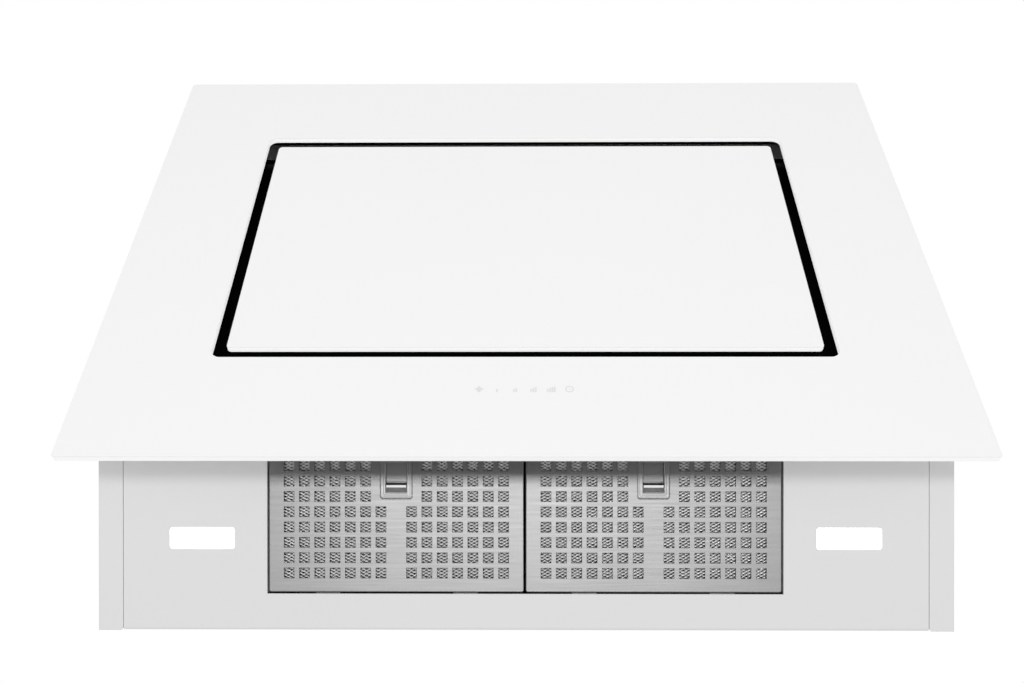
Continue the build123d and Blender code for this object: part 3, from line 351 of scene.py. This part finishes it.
def opal_lens(name):
    """Lit opal diffuser whose glow varies a little in stretched patches."""
    s = Shader(name, grey(0.93), 0.3)
    glow = s.noise(60, 1, stretch=(1, 0.4, 1))
    s.base.inputs["Emission Color"].default_value = (1.0, 1.0, 1.0, 1)
    s.link(s.remap(glow, 1.2, 1.5), s.base.inputs["Emission Strength"])
    s.rough(s.noise(700, 2), 0.25, 0.36)
    s.tint(s.noise(40, 2), 0.01)
    s.bump(s.noise(900, 2), 0.00002)
    return s


slot_materials = {
    # The front glass's edges get a painted glow, stronger round the cut-out
    "white_glass": back_painted_glass("white_glass", 0.18, 0.43),
    "black_enamel": enamel("black_enamel", grey(0.003), 0.7),
    "light_grey_enamel": enamel("light_grey_enamel", grey(0.75), 0.42),
    "galvanised_steel": galvanised("galvanised_steel"),
    "filter_aluminium": satin_aluminium("filter_aluminium", 0.24),
    "filter_mesh_aluminium": mesh_aluminium("filter_mesh_aluminium", 0.67),
    "grey_plastic": satin_aluminium("grey_plastic", 0.27, 0.95),
    "diffuser": opal_lens("diffuser"),
    "white_plastic": plastic("white_plastic", (0.74, 0.74, 0.73), 0.42),
    "black_plastic": plastic("black_plastic", (0.025, 0.025, 0.026), 0.45),
    "green_board": circuit_board("green_board"),
    "foam": rubber("foam", grey(0.03)),
    "black_rubber": rubber("black_rubber", grey(0.025), 0.7, 2500, 0.00003),
    "spring_steel": steel("spring_steel", (0.55, 0.55, 0.56), 0.3),
    "magnet": enamel("magnet", (0.05, 0.05, 0.055), 0.6, 0.06 * MM, 0.2 * MM),
    "winding": winding("winding"),
    "machined_steel": steel("machined_steel", (0.58, 0.58, 0.59), 0.3, (0.05, 1, 1)),
    "zinc_screws": steel("zinc_screws", (0.66, 0.67, 0.68), 0.28, (1, 1, 1), 0.08),
}
slot_materials["black_enamel"].base.inputs["Specular IOR Level"].default_value = 0.08
for part in frame["record"]["subparts"]:
    mesh = nodes[part["node"]].data
    mesh.materials.clear()
    mesh.materials.append(slot_materials[part["material_slot"]].material)
# The latch cups, seen only in their recesses, get a lighter diffuse grey than the lip round them: painted
# light on the shaded recess walls and floor
recess_painted_light = plastic("recess_painted_light", grey(0.62), 0.5)
for side in ("left", "right"):
    nodes[f"{side}_latch_cup"].data.materials[0] = recess_painted_light.material
# The centre panel's edges get a stronger painted glow
panel_glass = back_painted_glass("panel_glass", 0.47)
nodes["centre_panel_glass"].data.materials[0] = panel_glass.material


# Mesh helpers
def piece(name, bm, body, slot, material=None, smooth=True, replaces=()):
    """Turn a bmesh in row metres into an object that rides on a body."""
    mesh = bpy.data.meshes.new(name)
    bmesh.ops.recalc_face_normals(bm, faces=bm.faces)
    bm.to_mesh(mesh)
    bm.free()
    if smooth:
        mesh.shade_smooth()
        mesh.set_sharp_from_angle(angle=math.radians(32))
    obj = bpy.data.objects.new(name, mesh)
    bpy.context.scene.collection.objects.link(obj)
    mesh.materials.append(material or slot_materials[slot].material)
    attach(obj, body)
    if replaces:
        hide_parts(*replaces)
    return obj


def add_loop(bm, points):
    return [bm.verts.new(p) for p in points]


def bridge(bm, first, second):
    """Faces between two closed loops of the same length."""
    count = len(first)
    for i in range(count):
        j = (i + 1) % count
        bm.faces.new((first[i], first[j], second[j], second[i]))


def rounded_outline(width, length, radius, steps=5):
    """Points round a rectangle with rounded corners, centred on the origin."""
    points = []
    for sx, sy, start in ((1, 1, 0), (-1, 1, 90), (-1, -1, 180), (1, -1, 270)):
        cx, cy = sx * (width / 2 - radius), sy * (length / 2 - radius)
        for i in range(steps + 1):
            angle = math.radians(start + 90 * i / steps)
            points.append((cx + radius * math.cos(angle), cy + radius * math.sin(angle)))
    return points


def circle(radius, count=36):
    return [
        (radius * math.cos(2 * math.pi * i / count), radius * math.sin(2 * math.pi * i / count))
        for i in range(count)
    ]


def rounded_bar(bm, low, high, radius, steps=3):
    """Make an empty bmesh a box between two corners with every edge rounded."""
    bmesh.ops.create_cube(bm, size=1)
    for v in bm.verts:
        v.co = Vector(low[k] + (v.co[k] + 0.5) * (high[k] - low[k]) for k in range(3))
    bmesh.ops.bevel(bm, geom=list(bm.edges), offset=radius, segments=steps, profile=0.5, affect="EDGES")


# Expanded foil in the grease filters
strand_swing = 0.98
strand_lift = 0.45
strand_twist = 0.3


def stray(i, j, wander):
    """How far joint i of row j strays: part scattered, part in slow waves, alike in each run."""
    return wander * math.sin(12.9898 * i + 78.233 * j) + wander * math.sin(0.37 * i - 0.53 * j)


def expanded_foil(bm, size, layer, place, keep, wander=0.0):
    """Zigzag strands that meet at their corners, in mm about the middle; place gives the real point."""
    width, length = size
    cell, row, strand, thickness, lean = layer
    columns = int(width / (cell / 2))
    extra = int(abs(lean) * width / 2 / row) + 1
    rows = int(length / row)
    for j in range(-extra, rows + extra):
        y = -length / 2 + (j + 0.5) * length / rows
        previous = None
        for i in range(columns + 1):
            x = -width / 2 + i * width / columns
            up = 1 if (i + j) % 2 else -1
            v = y + lean * x + up * (row / 2 - strand / 4) * strand_swing + stray(i, j, wander)
            lift = up * thickness * strand_lift
            if abs(v) > length / 2 - strand or not keep(x, v):
                previous = None
                continue
            station = []
            for sy, sz in ((-1, -1), (1, -1), (1, 1), (-1, 1)):
                height = lift + sy * up * thickness * strand_twist + sz * thickness / 2
                station.append(bm.verts.new(place(x, v + sy * strand / 2, height)))
            if previous:
                bridge(bm, previous, station)
            previous = station


# Layers of a lower filter: depth behind the sheet, then cell, row, strand, thickness and lean
front_layers = ((0.55, (3.9, 1.04, 0.5, 0.25, -0.035)),)
deep_layers = ((2.1, (3.0, 1.35, 0.6, 0.25, 0.05)), (3.9, (3.7, 1.2, 0.6, 0.25, -0.02)))
foil_wander = 0.07
latch_side_inset = 2.3
latch_end_inset = 2.0


def lower_filter_foil(side, name, layers, material=None, replaces=()):
    """Layers of foil behind the punched sheet of a lower filter, open where its latch is."""
    low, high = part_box(f"{side}_filter_mesh")
    cup_low, cup_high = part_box(f"{side}_latch_cup")
    middle = (low + high) / 2
    size = ((high.x - low.x) / MM, (high.y - low.y) / MM)
    latch_half = (cup_high.x - cup_low.x) / 2 / MM - latch_side_inset
    latch_end = (cup_high.y - middle.y) / MM - latch_end_inset

    def keep(x, y):
        return not (abs(x) < latch_half and y < latch_end)

    bm = bmesh.new()
    for depth, layer in layers:
        z = low.z + depth * MM

        def place(x, y, lift, z=z):
            return Vector((middle.x + x * MM, middle.y + y * MM, z + lift * MM))

        expanded_foil(bm, size, layer, place, keep, foil_wander)
    piece(f"{side}_{name}", bm, f"{side}_filter", "filter_mesh_aluminium", material, False, replaces)


# The deeper foil layers get a darker copy of the foil: painted shade for the light that reaches them less
deep_foil_painted_shade = mesh_aluminium("deep_foil_painted_shade", 0.42)
for side in ("left", "right"):
    lower_filter_foil(side, "filter_foil", front_layers, replaces=(f"{side}_filter_mesh",))
    lower_filter_foil(side, "filter_foil_deep", deep_layers, deep_foil_painted_shade.material)


# Coarse foil of the filter behind the centre panel, open where its latch is
front_foil_start = 132.0
front_foil_length = 170.0
front_foil_depths = (33.2, 36.6)
front_foil_layer = (6.4, 2.0, 0.8, 0.5, 0.0)
front_latch_half = 8.2
front_latch_length = 17.5


def front_filter_foil():
    low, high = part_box("front_filter_mesh")
    size = ((high.x - low.x) / MM, front_foil_length)

    def keep(x, u):
        return not (abs(x) < front_latch_half and u > front_foil_length / 2 - front_latch_length)

    bm = bmesh.new()
    for depth in front_foil_depths:

        def place(x, u, lift, depth=depth):
            return on_glass(x, front_foil_start + front_foil_length / 2 + u, lift - depth)

        expanded_foil(bm, size, front_foil_layer, place, keep)
    piece("front_filter_foil", bm, "casing", "filter_mesh_aluminium", smooth=False,
          replaces=("front_filter_mesh",))


front_filter_foil()


# Latches of the lower filters: a ridged lip on the bezel, a seam round it and a rounded grip on the slider,
# whose white is a painted highlight.
# A ring's sections give the reach from the recess (0) to the bezel's edge (1), the corner radius and the
# depth from the bezel's face, in mm
recess_size = Vector((14.0, 19.8))
recess_offset = -0.4
bezel_length = 26.0
lip_sections = (
    (1.0, 1.6, 0.05), (0.99, 1.6, -0.02), (0.92, 1.6, -0.07), (0.84, 1.5, -0.14), (0.72, 1.4, -0.14),
    (0.6, 1.2, -0.07), (0.42, 1.0, -0.07), (0.3, 0.9, -0.14), (0.14, 0.7, -0.17), (0.02, 0.5, -0.1),
    (0.01, 0.5, 0.05),
)
seam_sections = ((1.09, 1.8, 0.3), (1.09, 1.8, -0.01), (1.0, 1.6, -0.01), (1.0, 1.6, 0.3))
rib_width = 1.7 * MM
rib_low, rib_high, rib_rounding = 0.15 * MM, 1.0 * MM, 0.35 * MM
groove_width = 1.1 * MM
plate_depth = 1.9 * MM
edge_width, edge_low, edge_high, edge_rounding = 0.9 * MM, 0.35 * MM, 0.5 * MM, 0.25 * MM


def latch_details(side):
    cup_low, cup_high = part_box(f"{side}_latch_cup")
    slider_low, slider_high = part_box(f"{side}_latch_slider")
    centre_x = (cup_low.x + cup_high.x) / 2
    centre_y = cup_high.y - bezel_length * MM / 2
    bezel_size = Vector(((cup_high.x - cup_low.x) / MM, bezel_length))

    def ring(sections):
        bm = bmesh.new()
        loops = []
        for reach, radius, depth in sections:
            width, length = recess_size.lerp(bezel_size, reach)
            middle_y = recess_offset * (1 - reach)
            z = cup_low.z + depth * MM
            loops.append(add_loop(bm, [
                Vector((centre_x + x * MM, centre_y + (y + middle_y) * MM, z))
                for x, y in rounded_outline(width, length, radius)
            ]))
        for first, second in zip(loops, loops[1:] + loops[:1]):
            bridge(bm, first, second)
        return bm

    piece(f"{side}_latch_lip", ring(lip_sections), f"{side}_filter", "grey_plastic")
    piece(f"{side}_latch_seam", ring(seam_sections), f"{side}_filter", "black_plastic", seam_grey.material)
    half = (slider_high.x - slider_low.x) / 2
    rib_back = slider_high.y
    rib_front = rib_back - rib_width
    bm = bmesh.new()
    rounded_bar(
        bm,
        (centre_x - half, rib_front, slider_low.z - rib_low),
        (centre_x + half, rib_back, slider_low.z + rib_high),
        rib_rounding,
    )
    # The rib is white as a painted highlight where its face catches the key light; the slider itself is
    # grey
    piece(f"{side}_latch_rib", bm, f"{side}_latch", "grey_plastic", rib_painted_highlight.material)
    plate_end = rib_front - groove_width
    plate_face = slider_low.z + plate_depth
    bm = bmesh.new()
    rounded_bar(
        bm,
        (centre_x - half, plate_end - edge_width, plate_face - edge_low),
        (centre_x + half, plate_end, plate_face + edge_high),
        edge_rounding,
    )
    piece(f"{side}_latch_edge", bm, f"{side}_latch", "grey_plastic")


# White for the sliders' ribs: a painted highlight
rib_painted_highlight = plastic("rib_painted_highlight", grey(0.9), 0.3)
seam_grey = satin_aluminium("seam_grey", 0.24)
for side in ("left", "right"):
    latch_details(side)


# Latch springs
spring_wire = 0.4 * MM
spring_coils = 7
spring_steps = 18 * spring_coils


def latch_spring(latch, body, axis):
    """Wire coil in the place of a CAD spring, riding on the given body."""
    axis = Vector(axis).normalized()
    side = Vector((1, 0, 0))
    up = axis.cross(side)
    low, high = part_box(f"{latch}_spring")
    middle = (low + high) / 2
    along = [(v.co - middle).dot(axis) for v in nodes[f"{latch}_spring"].data.vertices]
    length = max(along) - min(along) - spring_wire
    radius = (high.x - low.x - spring_wire) / 2
    rings = []
    bm = bmesh.new()
    for i in range(spring_steps + 1):
        angle = 2 * math.pi * spring_coils * i / spring_steps
        radial = side * math.cos(angle) + up * math.sin(angle)
        forward = up * math.cos(angle) - side * math.sin(angle)
        tangent = (forward * radius * 2 * math.pi * spring_coils + axis * length).normalized()
        across = tangent.cross(radial)
        centre = middle + axis * length * (i / spring_steps - 0.5) + radial * radius
        section = [centre + spring_wire / 2 * (radial * px + across * py) for px, py in circle(1, 8)]
        rings.append(add_loop(bm, section))
    for first, second in zip(rings, rings[1:]):
        bridge(bm, first, second)
    bm.faces.new(rings[0])
    bm.faces.new(list(reversed(rings[-1])))
    coil = piece(f"{latch}_coil", bm, body, "spring_steel", replaces=(f"{latch}_spring",))
    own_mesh(coil)


for side in ("left", "right"):
    latch_spring(f"{side}_latch", f"{side}_filter", (0, 1, 0))
latch_spring("front_latch", "casing", (0, 1, -1))


# Touch symbols printed on the glass, in mm about the glass's middle line and up from its lower edge
print_thickness = 0.04
print_sink = -0.02


def glass_plate(bm, outline, x, u, inner=None):
    """Thin flat shape on the glass, from points in mm about its middle."""

    def loop(points, height):
        return add_loop(bm, [on_glass(x + px, u + pu, height) for px, pu in points])

    front = loop(outline, print_thickness)
    back = loop(outline, print_sink)
    bridge(bm, front, back)
    if inner:
        front_inner = loop(inner, print_thickness)
        back_inner = loop(inner, print_sink)
        bridge(bm, front, front_inner)
        bridge(bm, back, back_inner)
        bridge(bm, front_inner, back_inner)
    else:
        bm.faces.new(front)
        bm.faces.new(list(reversed(back)))


symbol_print = Shader("symbol_print", grey(0.71), 0.5)
symbol_print.tint(symbol_print.noise(900, 2), 0.06)
symbol_print.rough(symbol_print.noise(1200, 2), 0.42, 0.58)
speed_base_u = 54.9
speed_places = (-18.4, -6.4, 5.8, 17.7)
bar_heights = (3.0, 3.9, 4.6, 5.1)
bar_width = 1.15
bar_pitch = 1.55
bar_slant = 0.35
bm = bmesh.new()
for number, x in enumerate(speed_places):
    for i in range(number + 1):
        left = x + (i - number / 2) * bar_pitch - bar_width / 2
        height = bar_heights[i]
        outline = [(0, 0), (bar_width, 0), (bar_width, height), (0, height - bar_slant)]
        glass_plate(bm, outline, left, speed_base_u)
piece("speed_symbols", bm, "casing", "white_glass", symbol_print.material, smooth=False)
lamp_place = (-30.3, 57.5)
lamp_shade = [
    (-0.5, 2.6), (0.5, 2.6), (1.1, 1.4), (2.9, 0.4), (2.9, -0.3), (1.3, -0.7), (1.0, -2.3), (0, -2.8),
    (-1.0, -2.3), (-1.3, -0.7), (-2.9, -0.3), (-2.9, 0.4), (-1.1, 1.4),
]
bm = bmesh.new()
glass_plate(bm, lamp_shade, *lamp_place)
piece("lamp_symbol", bm, "casing", "white_glass", symbol_print.material, smooth=False)
timer_place = (29.8, 57.6)
long_hand = [(-0.2, -0.25), (0.2, -0.25), (0.2, 1.3), (-0.2, 1.3)]
short_hand = [(0.2, -0.25), (1.05, -0.75), (1.2, -0.45), (0.2, 0.15)]
bm = bmesh.new()
glass_plate(bm, circle(2.95), *timer_place, inner=circle(2.1))
glass_plate(bm, long_hand, *timer_place)
glass_plate(bm, short_hand, *timer_place)
piece("timer_symbol", bm, "casing", "white_glass", symbol_print.material, smooth=False)


# Screws with a cross recess on the top
def cross_screw(bm, head_radius, head_height, place):
    """Pan head whose flat carries a cross-shaped recess."""
    arm, half = head_radius * 0.52, head_radius * 0.13
    cross = []
    for quarter in range(4):
        angle = math.radians(90 * quarter)
        for px, py in ((arm, -half), (arm, half), (half, half)):
            x = px * math.cos(angle) - py * math.sin(angle)
            y = px * math.sin(angle) + py * math.cos(angle)
            cross.append((x, y))
    count = 24
    flat = head_radius * 0.66
    rim = circle(flat, count)
    profile = [
        (head_radius * 0.98, 0.0),
        (head_radius, head_height * 0.3),
        (head_radius * 0.94, head_height * 0.7),
        (head_radius * 0.82, head_height * 0.93),
    ]
    rings = []
    for radius, height in profile:
        rings.append(
            add_loop(bm, [place(Vector((radius * x / flat, radius * y / flat, height))) for x, y in rim])
        )
    top = add_loop(bm, [place(Vector((x, y, head_height))) for x, y in rim])
    rings.append(top)
    for first, second in zip(rings, rings[1:]):
        bridge(bm, first, second)
    upper = add_loop(bm, [place(Vector((x, y, head_height))) for x, y in cross])
    lower = add_loop(bm, [place(Vector((x * 0.8, y * 0.8, head_height * 0.35))) for x, y in cross])
    bridge(bm, upper, lower)
    bm.faces.new(lower)
    edges = []
    for loop in (top, upper):
        for i in range(len(loop)):
            edges.append(bm.edges.get((loop[i], loop[(i + 1) % len(loop)])))
    bmesh.ops.triangle_fill(bm, use_beauty=True, edges=edges)


def islands(node):
    """Lowest and highest corner of each separate solid of a CAD node, in order of place."""
    mesh = nodes[node].data
    bm = bmesh.new()
    bm.from_mesh(mesh)
    bmesh.ops.remove_doubles(bm, verts=bm.verts, dist=1e-6)
    left = set(bm.verts)
    found = []
    while left:
        stack = [left.pop()]
        group = []
        while stack:
            v = stack.pop()
            group.append(v.co.copy())
            for e in v.link_edges:
                other = e.other_vert(v)
                if other in left:
                    left.remove(other)
                    stack.append(other)
        low = Vector(min(p[k] for p in group) for k in range(3))
        high = Vector(max(p[k] for p in group) for k in range(3))
        found.append((low, high))
    bm.free()
    return sorted(found, key=lambda box: [round(c / MM, 2) for c in box[0]])


top_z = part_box("top_panel")[1].z
screw_head_height = 2.0 * MM
screw_turn = 0.7
for node, name in (("casing_screws", "casing_screw_heads"), ("collar_screws", "collar_screw_heads")):
    bm = bmesh.new()
    for number, (low, high) in enumerate(islands(node)):
        if high.z < top_z + 0.5 * MM:
            continue
        middle = (low + high) / 2
        foot = Vector((middle.x, middle.y, high.z - screw_head_height + 0.02 * MM))
        turn_by = Matrix.Rotation(screw_turn * number, 3, "Z")

        def place(p, foot=foot, turn_by=turn_by):
            return turn_by @ p + foot

        cross_screw(bm, (high.x - low.x) / 2 * 1.02, screw_head_height, place)
    piece(name, bm, "casing", "zinc_screws")


# Floor, light and background
floor_half_width = 12
floor_drop = 1.95
ambient_level = 0.9
background_level = 1.0
key_distance = 1.8
key_width, key_length, key_power = 0.48, 1.2, 10.0

floor = bpy.data.objects.new("floor", bpy.data.meshes.new("floor"))
bm = bmesh.new()
bmesh.ops.create_grid(bm, x_segments=2, y_segments=2, size=floor_half_width)
bm.to_mesh(floor.data)
bm.free()
floor.location.z = underside_z - floor_drop
bpy.context.scene.collection.objects.link(floor)
floor_look = Shader("floor", grey(0.82), 0.7)
floor_look.tint(floor_look.noise(2, 4), 0.01)
floor_look.rough(floor_look.noise(8, 3), 0.62, 0.78)
floor.data.materials.append(floor_look.material)

# The camera, gloss and glass see plain white; everything else is lit by the ambient level
world = bpy.data.worlds.new("world")
world.use_nodes = True
bpy.context.scene.world = world
tree = world.node_tree
tree.nodes.clear()
path = tree.nodes.new("ShaderNodeLightPath")
shown = path.outputs["Is Camera Ray"]
for ray in ("Is Glossy Ray", "Is Transmission Ray"):
    either = tree.nodes.new("ShaderNodeMath")
    either.operation = "MAXIMUM"
    tree.links.new(shown, either.inputs[0])
    tree.links.new(path.outputs[ray], either.inputs[1])
    shown = either.outputs[0]
blend = tree.nodes.new("ShaderNodeMixShader")
tree.links.new(shown, blend.inputs[0])
for number, level in ((1, ambient_level), (2, background_level)):
    sky = tree.nodes.new("ShaderNodeBackground")
    sky.inputs["Color"].default_value = (1, 1, 1, 1)
    sky.inputs["Strength"].default_value = level
    tree.links.new(sky.outputs[0], blend.inputs[number])
output = tree.nodes.new("ShaderNodeOutputWorld")
tree.links.new(blend.outputs[0], output.inputs["Surface"])

# Soft rectangular key light from the front and below; its length runs along X
target = Vector((0, -0.15, underside_z))
key_from = Vector((0.0, -0.505, -0.863)).normalized()
key = bpy.data.objects.new("key", bpy.data.lights.new("key", "AREA"))
key.data.shape = "RECTANGLE"
key.data.size = key_length
key.data.size_y = key_width
key.data.energy = key_power
key.location = target + key_from * key_distance
key.rotation_euler = (target - key.location).to_track_quat("-Z", "Y").to_euler()
bpy.context.scene.collection.objects.link(key)
